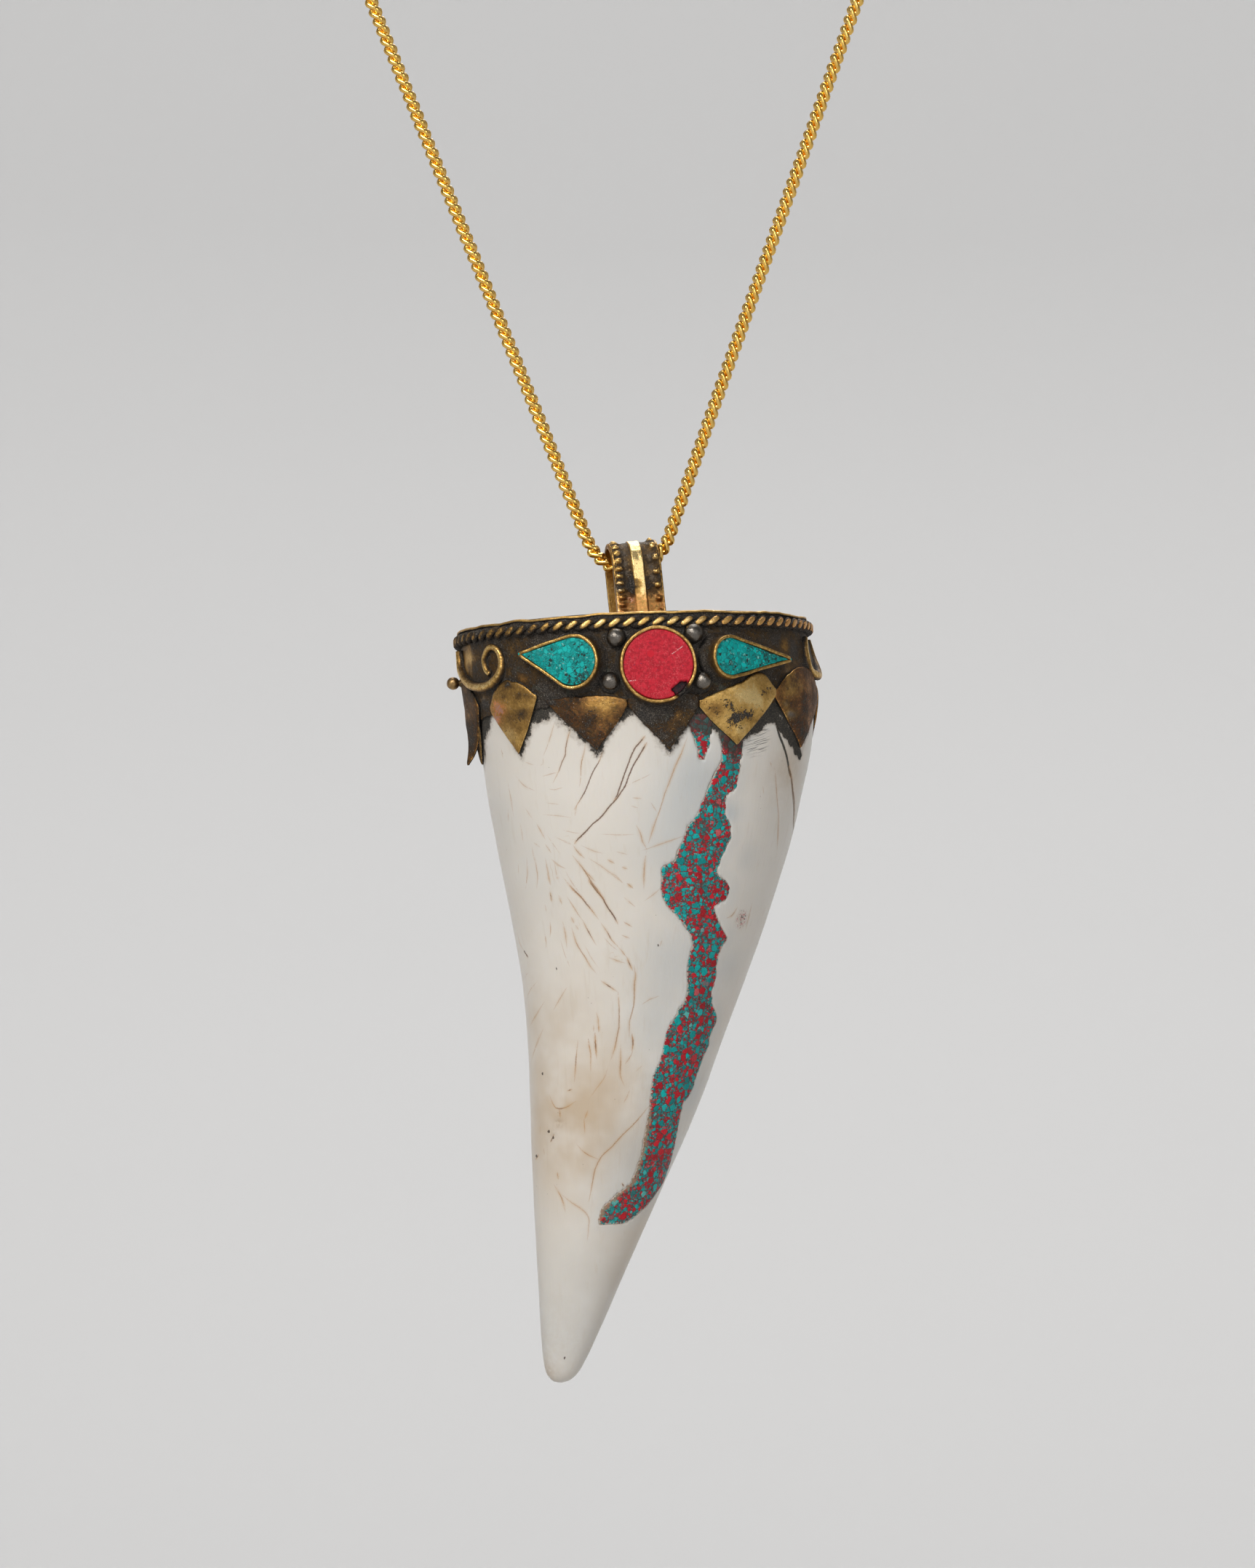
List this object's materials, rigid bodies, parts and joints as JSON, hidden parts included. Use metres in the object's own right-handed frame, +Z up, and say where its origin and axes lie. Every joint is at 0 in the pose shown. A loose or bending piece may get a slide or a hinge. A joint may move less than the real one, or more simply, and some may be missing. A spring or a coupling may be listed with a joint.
{
  "type": "shell pendant on a necklace chain",
  "caption": "Curved horn of white shell with a crushed stone inlay and a brass cap set with coral and turquoise, hung by a broad bail on a fine curb chain.",
  "frame": {"origin": "underside of the clasp at the back of the neck, where the loop rests on what holds it", "axes": "+Z up along the hanging necklace, -Y towards the pendant's front, +X to the viewer's right when the front is faced"},
  "size_m": [0.114, 0.0311, 0.2895],
  "materials": {
    "shell": "polished conch shell",
    "cap": "worn, with dark patina in its hollows",
    "coral": "polished crushed coral",
    "turquoise": "polished crushed turquoise",
    "inlay": "polished turquoise and coral chips in dark matrix",
    "chain": "gold plated, bright",
    "clasp": "gold plated, bright"
  },
  "bodies": {
    "chain": {"chain_left": "chain", "chain_right": "chain", "clasp": "clasp"},
    "pendant": {"shell": "shell", "cap": "cap", "coral_centre": "coral", "turquoise_left": "turquoise", "turquoise_right": "turquoise", "inlay": "inlay", "inlay_tongue": "inlay"}
  },
  "joints": [
    {"name": "pendant_swing", "type": "hinge", "parent": "chain", "child": "pendant", "pos_m": [0.00045, 0, -0.209], "axis": [0.9844, 0.1562, 0.0808], "range_deg": [-90, 90]}
  ]
}
